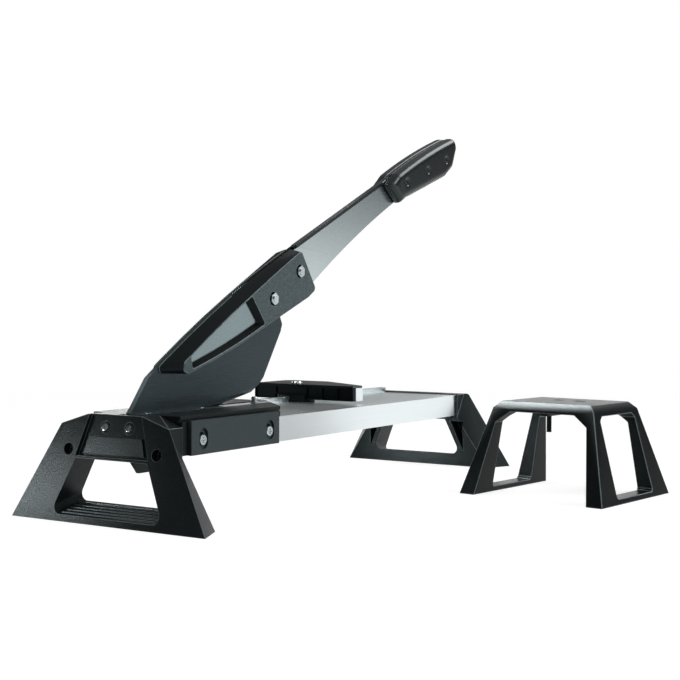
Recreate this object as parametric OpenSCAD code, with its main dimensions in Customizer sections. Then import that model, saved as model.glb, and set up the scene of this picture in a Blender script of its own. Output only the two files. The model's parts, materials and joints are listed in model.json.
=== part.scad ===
// Laminate cutter: guillotine lever on an aluminium rail between two feet, with a loose support stand.
// Millimetres. Origin at the middle of the left foot's sole, X along the rail, Z up.

/* [Base] */
// Length over both feet at the floor
base_l = 700; // [600:5:800]
// Width of a foot at its outer edge on the floor
base_w = 261; // [220:1:300]

/* [Feet] */
// Height of the feet, the bed and the stand
foot_h = 112; // [108:1:125]
// Width of a foot at its inner edge on the floor
sole_in_w = 227; // [190:1:236]
// Depth of the sole along the rail
sole_d = 38; // [32:1:44]
// Drop of the shoulders below the top
shoulder_drop = 11; // [6:0.5:16]
// Width over the shoulders
shoulder_w = 146; // [138:1:160]
// Width of the flat on top
foot_top_w = 75; // [60:1:90]
// How far the outer skin leans in from the sole to the shoulder
foot_lean = 16; // [10:1:20]
// Distance from the middle of the sole to the inner face of the rail cap
cap_reach = 24; // [20:1:34]
// Wall round the end of the rail
cap_wall = 3; // [2:0.5:5]
// Width of the hand-hold at its lower edge
hold_low_w = 142; // [120:1:160]
// Width of the hand-hold at its upper edge
hold_top_w = 98; // [80:1:110]
// Height of the lower bar at its outer edge
bar_h = 7; // [5:0.5:10]
// Rise of the lower bar towards its inner edge
bar_rise = 10; // [4:0.5:14]
// Wall between the hand-hold and the rail cap
hold_wall = 2.8; // [2:0.2:12]
// Radius of the lower corners of the hand-hold
hold_r = 8; // [4:0.5:12]
// Number of grip ribs along the lower bar
bar_ribs = 5; // [3:1:7]
// Width of a grip rib
bar_rib_w = 1.6; // [1:0.1:2.5]
// Depth of the recessed end panel
panel_depth = 5; // [3:0.5:6]
// Width of the end panel at its top
panel_top_w = 68; // [60:1:72]
// Width of the end panel at its foot
panel_low_w = 98; // [90:1:110]
// Distance of the panel screws from the middle
panel_screw_y = 16; // [12:0.5:22]
// Drop of the panel screws below the top
panel_screw_drop = 12.2; // [10:0.2:14]
// Diameter of the panel screws' heads
panel_head_d = 9; // [8:0.5:11]
// Distance of the leg screws from the middle
leg_screw_y = 59.5; // [56:0.5:64]
// Drop of the leg screws below the top
leg_screw_drop = 37; // [31:0.5:42]
// Diameter of the leg screw recesses
leg_recess_d = 12.5; // [10:0.5:15]
// Depth of the leg screw recesses
leg_recess_h = 9; // [6:0.5:11]
// Depth of the hollow in each leg, from the inner face
leg_hollow = 20; // [10:1:24]
// Wall between a leg's hollow and the hand-hold
leg_wall = 5; // [3:0.5:8]
// Distance from the middle of the sole to the end of the rail
rail_seat = 8; // [7:0.5:10]
// Height of the lip behind the rail's open end at the right foot
lip_t = 1.6; // [1:0.2:3]
// Depth of that lip
lip_d = 5; // [3:0.5:8]

/* [Nameplate] */
// Width of the plate at its top
plate_top_w = 72; // [60:1:80]
// Width of the plate at its foot
plate_low_w = 82; // [70:1:90]
// Drop of the plate's lower edge below the top
plate_drop = 40; // [37:0.5:42]
// Height of the plate
plate_h = 18; // [12:0.5:20]
// Thickness of the plate
plate_t = 2; // [1:0.5:3]

/* [Rail] */
// Width of the rail
rail_w = 129.5; // [110:0.5:140]
// Height of the rail
rail_h = 28.5; // [24:0.5:29]
// Wall of the rail
rail_t = 3; // [2:0.25:4]
// Width of the dovetail ridge at its top
ridge_w = 9; // [7:0.5:11]
// How much narrower the ridge is at its root
ridge_cut = 2; // [1:0.25:3]
// Height of the ridge
ridge_h = 7; // [5:0.5:7.5]
// Distance of the ridge from the rear edge of the rail
ridge_in = 1.5; // [0:0.5:4]

/* [Bed] */
// Thickness of the bed over the rail
bed_t = 11.7; // [11:0.1:13]
// Length of the bed along its front edge
bed_l = 178; // [165:1:190]
// Mitre of the bed's right end
bed_mitre = 45; // [30:1:50]
// Thickness of the front skirt
skirt_t = 2.2; // [1.5:0.1:3]
// Length of the front skirt
skirt_l = 164; // [158:1:172]
// Height of the shadow groove along the front
groove_h = 2.4; // [1.5:0.1:3]
// Depth of the shadow groove
groove_d = 3; // [1:0.5:5]
// Width of the counter blade
counter_w = 16.5; // [12:0.5:20]
// Height of the counter blade
counter_h = 8; // [5:0.5:10]
// Gap between the blade and the counter blade
shear_gap = 0.5; // [0.3:0.1:1]
// Width of the blade slot behind the blade
slot_back = 3; // [2:0.5:5]
// Run of the blade slot past the blade's tip
slot_run = 16; // [10:1:20]
// Diameter of the tip guide
guide_d = 8; // [6:0.5:10]
// Height of the tip guide
guide_h = 7; // [5:0.5:12]

/* [Front jaw] */
// Length of the jaw plate
jaw_l = 159; // [150:1:164]
// Thickness of the jaw plate
jaw_t = 4.8; // [4:0.2:6]
// Distance of the jaw plate from the rail cap
jaw_x = 9; // [6:0.5:12]
// Height of the jaw plate
jaw_h = 35.6; // [33:0.1:36]
// Distance of a jaw slot from the end of the plate
jaw_slot_x = 20; // [15:0.5:30]
// Height of the jaw screws above the lower edge
jaw_screw_z = 14.5; // [12:0.5:16]
// Travel of the jaw plate
jaw_travel = 5; // [2:0.5:6]
// Chamfer on the jaw plate's ends
jaw_chamfer = 2.5; // [1:0.5:4]

/* [Pivot] */
// Distance of the pivot from the middle of the sole
pivot_x = 41; // [40:0.5:46]
// Drop of the pivot below the top
pivot_drop = 24; // [22:0.5:27]
// Diameter of the pivot bolt
pivot_d = 10; // [8:0.5:12]
// Outside diameter of the pivot bush
bush_d = 14; // [13:0.5:18]
// Running clearance on the pivot, on the radius
run_gap = 0.05; // [0.02:0.01:0.1]
// Thickness of the pivot washers
washer_t = 1; // [0.8:0.1:2]
// Diameter of the pivot washers
washer_d = 22; // [18:1:30]
// Thickness of the pivot brackets
bracket_t = 4; // [3:0.5:5]
// Width of a bracket's end flange
flange_w = 22; // [18:0.5:26]
// How far the near bracket hangs below the rail
bracket_hang = 21.8; // [16:0.2:24]
// Diameter of the stop bumper
bumper_d = 10; // [8:0.5:12]
// Distance of the stop bumper from the pivot
bumper_x = 42; // [40:0.5:48]

/* [Lever] */
// Tilt of the arm above level as it stands
arm_tilt = 25; // [23:0.5:28]
// How far the arm still comes down from there
arm_down = 5; // [4:0.5:6]
// Thickness of the blade and the arm
arm_t = 6; // [5:0.5:7]
// Height of the arm's top edge above the pivot line
arm_top = 73.3; // [70:0.1:76]
// Height of the arm's top edge at the grip
arm_neck = 70.3; // [66:0.1:73]
// Height of the arm's lower edge at the grip
arm_low = 33.5; // [28:0.5:38]
// Height of the edge trim on the arm's back
trim_h = 4; // [3:0.5:6]
// Wall of that trim
trim_t = 0.8; // [0.6:0.1:1.5]
// Where the curved spine runs out, along the arm
spine_u = 300; // [280:5:320]
// Radius of the curved spine and the curved underside
spine_r = 1700; // [1400:50:2200]
// Radius of the blade's heel round the pivot
heel_r = 21; // [19:0.5:24]
// Distance of the blade's upper rear corner from the pivot
heel_corner = 32.8; // [31:0.2:33]
// Length of the blade from the pivot to its right edge
blade_l = 279; // [270:1:290]
// Rounding of the blade's right corner
nose_r = 6; // [4:0.5:9]
// Where the cutting edge ends, along the arm
tip_u = 190; // [180:1:196]
// Length of the raised stretch beyond the cutting edge
tip_run = 27; // [20:1:32]
// Angle of the cutting edge below the arm's line
edge_a = 14.5; // [13:0.25:15]
// Width of the ground bevel
bevel_w = 7; // [4:0.5:9]
// Depth of the ground bevel
bevel_t = 2.4; // [1:0.2:3]
// Where the lap joint of blade and arm starts, along the arm
lap_u = 205; // [195:1:215]
// Where the lap joint ends, along the arm
lap_end_u = 340; // [334:1:342]

/* [Cheeks] */
// Thickness of a cheek
cheek_t = 15; // [12:0.5:18]
// Where a cheek starts, along the arm
cheek_u = 50; // [46:1:56]
// How far a cheek's face starts behind that
cheek_rake = 24; // [16:1:28]
// How far the cheek reaches past the lap joint
cheek_over = 5; // [3:0.5:8]
// Set-back of the cheek's face below its top edge
cheek_slope = 10; // [8:0.5:12]
// Height of a cheek's left end
cheek_nose_h = 5.5; // [4:0.5:8]
// Height of the cheek's waist above the pivot line
cheek_low = 18; // [15:0.5:20]
// Place of the waist along the arm
cheek_waist_u = 263; // [255:1:270]
// Radius of the cheek's lower edge
cheek_low_r = 1100; // [900:20:1400]
// Height of the cheek's chin above the pivot line
cheek_chin = 12; // [9:0.5:15]
// Rounding of the cheek's corners
cheek_r = 5; // [3:0.5:8]
// Depth of the cheek's pocket
pocket_d = 8; // [4:0.5:10]
// Rim round the cheek's pocket
pocket_rim = 3; // [2:0.5:4]
// How far the pocket's lower and right walls slope in to its floor
pocket_draft = 6; // [2:0.5:8]
// Width of the lip between the pocket and the cheek's sloping top
pocket_lip = 0.8; // [0.4:0.1:2]
// Where the pocket starts, along the arm
pocket_u = 85; // [84:1:96]
// Where the pocket ends, along the arm
pocket_end_u = 229; // [220:1:232]
// Place of the lower bolt along the arm
bolt_low_u = 257; // [252:0.5:264]
// Place of the upper bolt along the arm
bolt_top_u = 322; // [314:0.5:324]
// Diameter of the cheek bolts
bolt_d = 8; // [6:0.5:9]
// Diameter of the bolt recesses
bolt_recess_d = 17; // [15.5:0.5:18]
// Depth of the bolt recesses
bolt_recess_h = 4.5; // [3:0.5:6]
// Height of the lower bolt above the pivot line
bolt_low_w = 41; // [38:0.5:44]
// Rise of the upper bolt over the lower one
bolt_rise = 7; // [4:0.5:9]

/* [Grip] */
// Where the grip starts, along the arm
grip_u = 590; // [570:5:610]
// Length of the grip
grip_l = 208; // [190:1:230]
// Height of the grip's back above the pivot line
grip_top = 73; // [72:0.5:78]
// Height of the grip's belly above the pivot line
grip_low = 19.8; // [18:0.5:26]
// Radius of the grip's back
grip_back_r = 1340; // [1100:20:1600]
// Radius of the grip's belly
grip_belly_r = 645; // [560:5:740]
// Depth of the seams beside the grip's middle strip
seam_d = 0.6; // [0.4:0.1:1.2]
// Width of the grip
grip_w = 36; // [32:0.5:40]
// How far the lower end of the grip's butt is cut back
butt_rake = 26; // [10:1:34]
// Rounding of the grip's outline at its butt
butt_r = 7; // [3:0.5:9]
// How far the guard's nose reaches along the arm ahead of the grip
guard_nose = 12; // [6:1:16]
// Rounding of the grip's long edges
grip_r = 8; // [5:0.5:10]
// Diameter of the grip screws
grip_screw_d = 5; // [4:0.5:6]

/* [Fence] */
// Place of the fence pivot along the rail
fence_x = 419.5; // [400:0.5:440]
// Reach of the fence in front of its pivot
fence_front = 97; // [80:1:100]
// Reach of the fence behind its pivot
fence_back = 58; // [44:1:64]
// Thickness of the fence bar
fence_t = 17; // [16:0.5:18]
// Thickness of the ribbed strip on the fence bar
strip_t = 6; // [4:0.5:6]
// Height of the fence bar above the bed
fence_rise = 9; // [7:0.5:12]
// Gap under the fence bar
fence_gap = 3.5; // [2:0.5:5]
// Thickness of the fence cover
cover_t = 2.5; // [2:0.25:4]
// Reach of the cover behind the bar
cover_reach = 56; // [40:1:60]
// Half width of the notch over the ridge
notch_r = 25; // [24:0.5:26]
// Number of pockets along the front of the strip
fence_pockets = 3; // [2:1:5]
// Thickness of the strip's ribs and walls
strip_rib = 1.2; // [0.8:0.1:2.4]
// Depth of the pockets in the fence's strip
strip_pocket_d = 2.5; // [1:0.5:4]
// Diameter of the swivel spigot
spigot_d = 14; // [12:0.5:15]

/* [Stand] */
// Place of the stand's middle along the rail
stand_x = 467; // [420:1:520]
// Distance of the stand's middle in front of the rail's middle
stand_y = 300; // [290:1:340]
// Turn of the stand
stand_turn = 7.6; // [0:0.1:15]
// Length of the stand at the floor
stand_l = 192; // [170:1:210]
// Depth of the stand at the floor
stand_d = 169; // [150:1:190]
// Length of the stand's top
stand_top_l = 120; // [110:1:130]
// Depth of the stand's top
stand_top_d = 93; // [80:1:105]
// Height of the chamfer round the top
stand_chamfer = 8; // [5:0.5:10]
// Thickness of the end frames at the floor
frame_low_t = 22; // [16:1:28]
// Thickness of the end frames under the top
frame_top_t = 7; // [5:0.5:10]
// Height of the end frames' lower bar
frame_bar_h = 6.5; // [5:0.5:14]
// Width of a leg beside the stand's windows, under the top
window_wall = 4; // [3:0.5:12]
// Thickness of the stand's top
stand_top_t = 5; // [4:0.5:8]
// Diameter of the locating peg
peg_d = 6; // [5:0.5:8]
// Length of the locating peg
peg_l = 20; // [15:0.5:25]

/* [Fit] */
// Seat clearance between fixed pieces
fit = 0.2; // [0.1:0.05:0.3]

/* [Hidden] */
$fn = 48;
eps = 0.01;
far = 400;
base_mid = (base_l - sole_d) / 2;
toe = -sole_d / 2;
heel = sole_d / 2;
shoulder_z = foot_h - shoulder_drop;
lean_a = atan(foot_lean / shoulder_z);
skin_top_x = toe + foot_lean * foot_h / shoulder_z;
rail_top = foot_h - bed_t;
rail_z = rail_top - rail_h;
cap_w = rail_w + 2 * cap_wall;
cap_z = rail_z - cap_wall;
hold_top = cap_z - hold_wall;
panel_screw_v = (foot_h - panel_screw_drop) / cos(lean_a);
leg_screw_v = (foot_h - leg_screw_drop) / cos(lean_a);
plate_v = (foot_h - plate_drop) / cos(lean_a);
pivot_z = foot_h - pivot_drop;
rail_x = rail_seat + fit;
lip_z = rail_top + lip_t;
ridge_y = rail_w / 2 - ridge_in - ridge_w / 2;
ridge_top = rail_top + ridge_h;
bed_x = cap_reach + fit;
bed_front = rail_w / 2;
bed_back = ridge_y - ridge_w / 2 - 1;
bed_end = bed_x + bed_l + bed_front / tan(bed_mitre);
skirt_y = -rail_w / 2 - fit - skirt_t;
slot_end = pivot_x + tip_u + slot_run;
counter_y = -arm_t / 2 - shear_gap;
jaw_y = skirt_y - fit - jaw_t;
jaw_left = cap_reach + jaw_x;
jaw_slots = [jaw_left + jaw_slot_x, jaw_left + jaw_l - jaw_slot_x];
jaw_head_d = 13;
jaw_slack = 2;
jaw_head_h = 2.6;
jaw_slot_w = jaw_head_d + 1.5;
jaw_shank_d = 6;
jaw_cbore = 2.8;
gap_side = 0.1;
bracket_y = arm_t / 2 + washer_t + 2 * gap_side;
bracket_out = bracket_y + bracket_t;
bracket_top = rail_top - rail_t - fit;
bracket_z = rail_z - bracket_hang;
panel_sink = 1.2;
panel_ring = 4.2;
flange_top = foot_h - 4;
bracket_end = pivot_x + bumper_x + bumper_d / 2 + 4;
closed_a = arm_tilt - edge_a - arm_down;
bumper_z = bumper_x * tan(closed_a) - bumper_d / 2 / cos(closed_a) - 0.3;
bolt_us = [bolt_low_u, bolt_top_u];
bolt_head_af = 13;
bolt_head_h = 5.3;
bolt_seat = arm_t / 2 + cheek_t - bolt_recess_h;
grip_steps = 6;
grip_end = grip_u + grip_l;
grip_back_u = grip_u + grip_l * 0.2;
grip_belly_u = grip_u + grip_l * 0.75;
grip_front = 9;
tang_u = grip_u + grip_front + 11;
trim_end = grip_u + grip_front - 0.5;
cheek_end_u = lap_end_u + cheek_over;
lap_low = cheek_low + 4;
slot_half_front = arm_t / 2 + shear_gap;
fence_z = rail_top + fence_gap;
fence_top = foot_h + fence_rise;
slider_top = ridge_top + 2;
slider_d = 2 * notch_r - 2;
bar_over = slider_top + 0.3;

DARK = [0.16, 0.17, 0.18];
BLACK = [0.08, 0.08, 0.09];
GREY = [0.42, 0.44, 0.45];
STEEL = [0.72, 0.74, 0.75];
BLADE = [0.36, 0.38, 0.39];
ALU = [0.86, 0.88, 0.89];
RUBBER = [0.1, 0.1, 0.1];

// Shared shapes

// Convex solid over a list of corner points
module convex(points) {
    hull() polyhedron(points, [[for (i = [0:len(points) - 1]) i]]);
}

// Outline in the Y-Z plane, extruded from x0 to x1
module across(x0, x1) {
    translate([x0, 0, 0]) rotate([90, 0, 90]) linear_extrude(x1 - x0) children();
}

// Outline in the X-Z plane, extruded from y0 to y1
module along(y0, y1) {
    translate([0, y1, 0]) rotate([90, 0, 0]) linear_extrude(y1 - y0) children();
}

// Places children on the foot's leaning skin at y and height v, local Z pointing outwards
module on_skin(y, v) {
    translate([toe, 0, 0]) rotate([0, lean_a, 0]) translate([0, y, v]) rotate([0, -90, 0]) children();
}

// Copy of children on the other end of the base
module other_end() {
    translate([2 * base_mid, 0, 0]) mirror([1, 0, 0]) children();
}

// Rod along Y from y0 to y1
module rod(d, y0, y1) {
    translate([0, y1, 0]) rotate([90, 0, 0]) cylinder(d = d, h = y1 - y0);
}

// Hexagon of width af across its flats, along Y from y0 to y1
module hex_rod(af, y0, y1) {
    translate([0, y1, 0]) rotate([90, 0, 0]) cylinder(d = af / cos(30), h = y1 - y0, $fn = 6);
}

// Screw seen end on: a domed head above z = 0 with a cross recess, and its shank below
module screw(head_d, head_h, shank_d, shank_l) {
    slot_l = head_d * 0.5;
    slot_w = head_d * 0.14;
    difference() {
        union() {
            cylinder(d1 = head_d, d2 = head_d * 0.8, h = head_h);
            translate([0, 0, -shank_l]) cylinder(d = shank_d, h = shank_l + eps);
        }
        for (turn = [0, 90])
            rotate([0, 0, turn])
                translate([-slot_l / 2, -slot_w / 2, head_h * 0.4]) cube([slot_l, slot_w, head_h]);
    }
}

// Feet

// Flared frame between the leaning outer skin and the narrower inner rim
module leg_block() {
    in_slope = (sole_in_w - cap_w) / 2 / cap_z;
    in_top = sole_in_w / 2 - in_slope * shoulder_z;
    convex([for (side = [-1, 1]) each [
        [toe, side * base_w / 2, 0],
        [toe + foot_lean, side * shoulder_w / 2, shoulder_z],
        [skin_top_x, side * foot_top_w / 2, foot_h],
        [heel, side * sole_in_w / 2, 0],
        [cap_reach, side * cap_w / 2, cap_z],
        [cap_reach, side * in_top, shoulder_z],
        [cap_reach, side * min(in_top, foot_top_w / 2), foot_h]
    ]]);
}

// Box that holds the end of the rail, with the shoulders' chamfer
module cap_block() {
    across(toe + foot_lean + cap_wall, cap_reach)
        polygon([
            [-cap_w / 2, cap_z], [cap_w / 2, cap_z], [cap_w / 2, shoulder_z],
            [foot_top_w / 2, foot_h], [-foot_top_w / 2, foot_h], [-cap_w / 2, shoulder_z]
        ]);
}

// Hand-hold with flat leaning sides, round lower corners and a floor that rises inwards
module hand_hold() {
    top_r = 2;
    low = [hold_low_w / 2 - hold_r, bar_h + hold_r];
    top = [hold_top_w / 2 - top_r, hold_top - top_r];
    side_a = atan((low.x - top.x) / (top.y - low.y)) + asin((hold_r - top_r) / norm(low - top));
    hull() for (side = [-1, 1]) for (x = [-sole_d, sole_d]) {
        rise = bar_rise * (x - toe) / sole_d;
        translate([x, side * (low.x - rise * tan(side_a)), low.y + rise])
            rotate([0, 90, 0]) cylinder(r = hold_r, h = eps, $fn = 32);
        translate([x, side * top.x, top.y]) rotate([0, 90, 0]) cylinder(r = top_r, h = eps, $fn = 16);
    }
}

// Recess of the end panel, open upwards, following the leaning skin
module panel_recess() {
    low = hold_top / cos(lean_a) + 3;
    high = foot_h / cos(lean_a) + 4;
    on_skin(0, 0) translate([0, 0, -panel_depth]) linear_extrude(far / 10)
        polygon([[low, -panel_low_w / 2], [high, -panel_top_w / 2], [high, panel_top_w / 2], [low, panel_low_w / 2]]);
}

// Three-cornered hollow in the inner face of each leg
module leg_hollows() {
    low = bar_h + bar_rise + leg_wall;
    for (side = [-1, 1])
        across(cap_reach - leg_hollow, cap_reach + 1)
            polygon([
                [side * (hold_low_w / 2 + leg_wall), low], [side * (hold_top_w / 2 + leg_wall + 3), cap_z - leg_wall],
                [side * (cap_w / 2 + leg_wall + 3), cap_z - leg_wall]
            ]);
}

// Pocket for the end of the rail
module rail_pocket() {
    across(rail_seat, cap_reach + 1)
        translate([-rail_w / 2 - fit, rail_z - fit]) square([rail_w + 2 * fit, rail_h + 2 * fit]);
}

module bar_ribs() {
    pitch = sole_d / (bar_ribs + 1);
    for (i = [1:bar_ribs])
        translate([toe + i * pitch - bar_rib_w / 2, -hold_low_w / 2 + hold_r, bar_h - 1 + bar_rise * i / (bar_ribs + 1)])
            cube([bar_rib_w, hold_low_w - 2 * hold_r, 2.2]);
}

module leg_screw_holes() {
    for (side = [-1, 1]) on_skin(side * leg_screw_y, leg_screw_v) {
        translate([0, 0, -leg_recess_h]) cylinder(d = leg_recess_d, h = far / 10);
        translate([0, 0, -far / 12]) cylinder(d = 5 + fit, h = far / 12);
    }
}

module panel_screw_holes() {
    for (side = [-1, 1]) on_skin(side * panel_screw_y, panel_screw_v) {
        translate([0, 0, -panel_depth - panel_sink]) cylinder(d = panel_head_d + panel_ring, h = far / 10);
        translate([0, 0, -far / 10]) cylinder(d = 5 + fit, h = far / 10);
    }
}

module foot_shell() {
    difference() {
        union() {
            leg_block();
            cap_block();
        }
        hand_hold();
        leg_hollows();
        rail_pocket();
        leg_screw_holes();
    }
    bar_ribs();
}

module left_foot() {
    slot_y = slot_half_front + 1;
    flange_y = bracket_y + flange_w + 1;
    flange_z = cap_z + cap_wall + 3;
    color(DARK) difference() {
        foot_shell();
        panel_recess();
        panel_screw_holes();
        translate([rail_seat - 2, -slot_y, cap_z - 1]) cube([cap_reach, 2 * slot_y, foot_h]);
        translate([rail_seat, -flange_y, flange_z]) cube([bracket_t + 2 * fit, 2 * flange_y, flange_top + fit - flange_z]);
        translate([rail_seat, -bracket_out - 1, bracket_z - 1]) cube([cap_reach, 2 * bracket_out + 2, rail_z - bracket_z + 2]);
    }
}

module right_foot() {
    color(DARK) other_end() difference() {
        foot_shell();
        translate([-far / 2, -far / 2, lip_z]) cube(far);
        translate([rail_seat + lip_d, -rail_w / 2 - fit, rail_top - 1]) cube([far, rail_w + 2 * fit, far]);
    }
}

module nameplate() {
    color(BLACK) on_skin(0, plate_v) translate([0, 0, -panel_depth]) linear_extrude(plate_t)
        polygon([
            [0, -plate_low_w / 2], [plate_h, -plate_top_w / 2], [plate_h, plate_top_w / 2], [0, plate_low_w / 2]
        ]);
}

module left_panel_screws() {
    color(STEEL) for (side = [-1, 1])
        on_skin(side * panel_screw_y, panel_screw_v)
            translate([0, 0, -panel_depth - panel_sink]) screw(panel_head_d, 3, 5, bracket_t + 3.5);
}

module leg_screws() {
    color(STEEL) for (side = [-1, 1])
        on_skin(side * leg_screw_y, leg_screw_v)
            translate([0, 0, -leg_recess_h]) screw(9, 2.6, 5, 4);
}

module left_leg_screws() { leg_screws(); }
module right_leg_screws() { other_end() leg_screws(); }

// Rail and bed

module ridge_outline(grow) {
    root = ridge_w - ridge_cut;
    polygon([
        [ridge_y - root / 2 - grow, rail_top - eps], [ridge_y + root / 2 + grow, rail_top - eps],
        [ridge_y + ridge_w / 2 + grow, ridge_top + grow], [ridge_y - ridge_w / 2 - grow, ridge_top + grow]
    ]);
}

module rail() {
    rail_end = 2 * base_mid - rail_x;
    notch_y = bracket_y + flange_w + 1;
    color(ALU) difference() {
        union() {
            across(rail_x, rail_end) difference() {
                translate([-rail_w / 2, rail_z]) square([rail_w, rail_h]);
                for (side = [-1, 1])
                    translate([side * rail_w / 4 - (rail_w / 2 - 1.5 * rail_t) / 2, rail_z + rail_t])
                        square([rail_w / 2 - 1.5 * rail_t, rail_h - 2 * rail_t]);
            }
            across(cap_reach + 1, 2 * base_mid - rail_seat - lip_d - 1) ridge_outline(0);
        }
        translate([0, -slot_half_front - 1, rail_z + rail_t - eps]) cube([slot_end, 2 * slot_half_front + 2, far]);
        translate([0, -bracket_out - 8, rail_z + rail_t - eps])
            cube([bracket_end + 8, 2 * bracket_out + 16, rail_h - 2 * rail_t + 2 * eps]);
        translate([0, -bracket_out - fit, 0]) cube([bracket_end + 1, 2 * bracket_out + 2 * fit, rail_z + rail_h / 2]);
        translate([0, -notch_y, 0]) cube([rail_x + bracket_t + 1.5, 2 * notch_y, far]);
        for (x = jaw_slots)
            translate([x, 0, rail_z + jaw_screw_z]) rod(jaw_shank_d, -rail_w, -rail_w / 4);
    }
}

// Plan of the bed: square at the cap, mitred at its right end
module bed_plan(back) {
    polygon([
        [bed_x, -bed_front], [bed_x + bed_l, -bed_front],
        [bed_end, 0], [bed_end, back], [bed_x, back]
    ]);
}

module cutting_bed() {
    groove_z = foot_h - 3.5 - groove_h;
    color(DARK) difference() {
        union() {
            translate([0, 0, rail_top]) linear_extrude(foot_h - rail_top) bed_plan(bed_back);
            translate([bed_x, skirt_y, rail_z]) cube([skirt_l, skirt_t, rail_h + fit]);
            translate([bed_x, skirt_y, rail_top]) cube([skirt_l, skirt_t + 2 * fit, groove_z - rail_top]);
        }
        translate([0, -slot_half_front, rail_top - 1]) cube([slot_end, slot_half_front + arm_t / 2 + slot_back, far]);
        translate([0, counter_y - counter_w - fit, foot_h - counter_h - fit])
            cube([far, counter_w + fit + 1, far]);
        translate([0, -bed_front - 1, groove_z]) cube([far, groove_d + 1, groove_h]);
        for (x = jaw_slots)
            translate([x, 0, rail_z + jaw_screw_z]) rod(jaw_shank_d + fit, -rail_w, -rail_w / 4);
    }
}

module counter_screw_places() {
    reach = bed_end - bed_x - counter_w - 20;
    for (i = [0:2])
        translate([bed_x + 14 + i * (reach - 20) / 2, counter_y - counter_w / 2, foot_h]) children();
}

module counter_blade() {
    color(STEEL) difference() {
        translate([0, 0, foot_h - counter_h]) linear_extrude(counter_h) intersection() {
            bed_plan(0);
            translate([0, counter_y - counter_w]) square([far, counter_w]);
        }
        counter_screw_places() {
            translate([0, 0, -3]) cylinder(d = 9, h = 4);
            translate([0, 0, -far / 10]) cylinder(d = 4 + fit, h = far / 10);
        }
    }
}

module counter_blade_screws() {
    color(STEEL) counter_screw_places() translate([0, 0, -3]) screw(8.6, 2.6, 4, 4.5);
}

// Stud with grooves that stands beside the end of the slot
module tip_guide() {
    tip_h = 1.5;
    color(STEEL) translate([slot_end - slot_run, counter_y - guide_d / 2 - fit, foot_h]) difference() {
        union() {
            cylinder(d = guide_d, h = guide_h - tip_h);
            translate([0, 0, guide_h - tip_h]) cylinder(d1 = guide_d, d2 = guide_d - 2 * tip_h, h = tip_h);
        }
        for (k = [0.25, 0.5])
            translate([0, 0, k * guide_h]) difference() {
                cylinder(d = guide_d + 1, h = guide_h / 10);
                translate([0, 0, -1]) cylinder(d = guide_d * 0.8, h = 3);
            }
    }
}

// Slot with round ends, upright in the X-Z plane, as long as the jaw's travel and a little slack
module jaw_slot(width, y0, y1) {
    z0 = rail_z + jaw_screw_z - jaw_slack;
    run = jaw_travel + jaw_slack;
    for (z = [z0, z0 + run]) translate([0, 0, z]) rod(width, y0, y1);
    translate([-width / 2, y0, z0]) cube([width, y1 - y0, run]);
}

module front_jaw() {
    right = jaw_left + jaw_l;
    color(DARK) difference() {
        translate([0, 0, rail_z - fit]) linear_extrude(jaw_h) polygon([
            [jaw_left, jaw_y + jaw_t], [jaw_left, jaw_y + jaw_chamfer / 4], [jaw_left + jaw_chamfer / 4, jaw_y],
            [right - jaw_chamfer, jaw_y], [right, jaw_y + jaw_chamfer], [right, jaw_y + jaw_t]
        ]);
        for (x = jaw_slots) translate([x, 0, 0]) {
            jaw_slot(jaw_slot_w, jaw_y - 1, jaw_y + jaw_cbore);
            jaw_slot(jaw_shank_d + 0.8, jaw_y - 1, jaw_y + jaw_t + 1);
        }
    }
}

module jaw_screws() {
    color(STEEL) for (x = jaw_slots)
        translate([x, jaw_y + jaw_cbore, rail_z + jaw_screw_z])
            rotate([90, 0, 0]) screw(jaw_head_d, jaw_head_h, jaw_shank_d, jaw_t - jaw_cbore + skirt_t + 6);
}

// Pivot

// One bracket: a side plate beside the blade with an end flange bolted to the foot's panel
module bracket(hang) {
    low = rail_z - hang;
    flange_low = cap_z + cap_wall + 5;
    difference() {
        union() {
            along(bracket_y, bracket_out) polygon([
                [rail_x, flange_low], [rail_x, bracket_top], [bracket_end, bracket_top],
                [bracket_end, pivot_z - 14], [bracket_end - 30, low], [rail_x + 18, low],
                [rail_x + 9, low + hang / 2]
            ]);
            translate([rail_x, bracket_y, flange_low]) cube([bracket_t, flange_w, flange_top - flange_low]);
        }
        translate([pivot_x, 0, pivot_z]) rod(pivot_d + 0.1, 0, far);
        translate([pivot_x + bumper_x, 0, pivot_z + bumper_z]) rod(bumper_d / 2 + 0.1, 0, far);
        on_skin(panel_screw_y, panel_screw_v) translate([0, 0, -far / 5]) cylinder(d = 5 + fit, h = far / 5);
    }
}

module near_bracket() { color(DARK) mirror([0, 1, 0]) bracket(bracket_hang); }
module far_bracket() { color(DARK) bracket(1); }

module pivot_bolt() {
    color(STEEL) translate([pivot_x, 0, pivot_z]) {
        rod(pivot_d, -bracket_out - eps, bracket_out + 12);
        hex_rod(16, -bracket_out - 6.4, -bracket_out);
    }
}

module pivot_nut() {
    color(STEEL) translate([pivot_x, 0, pivot_z]) difference() {
        hex_rod(16, bracket_out, bracket_out + 8);
        rod(pivot_d, bracket_out - 1, bracket_out + 9);
    }
}

module pivot_washers() {
    color(STEEL) translate([pivot_x, 0, pivot_z]) for (side = [0, 1])
        mirror([0, side, 0]) difference() {
            rod(washer_d, arm_t / 2 + gap_side, arm_t / 2 + gap_side + washer_t);
            rod(pivot_d, 0, far);
        }
}

module stop_bumper() {
    color(RUBBER) translate([pivot_x + bumper_x, 0, pivot_z + bumper_z]) {
        rod(bumper_d, -bracket_y + fit, bracket_y - fit);
        rod(bumper_d / 2, -bracket_out, bracket_out);
    }
}

// Lever: drawn along the arm from the pivot, u along it and w above it

module on_arm() {
    translate([pivot_x, 0, pivot_z]) rotate([0, -arm_tilt, 0]) children();
}

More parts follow.
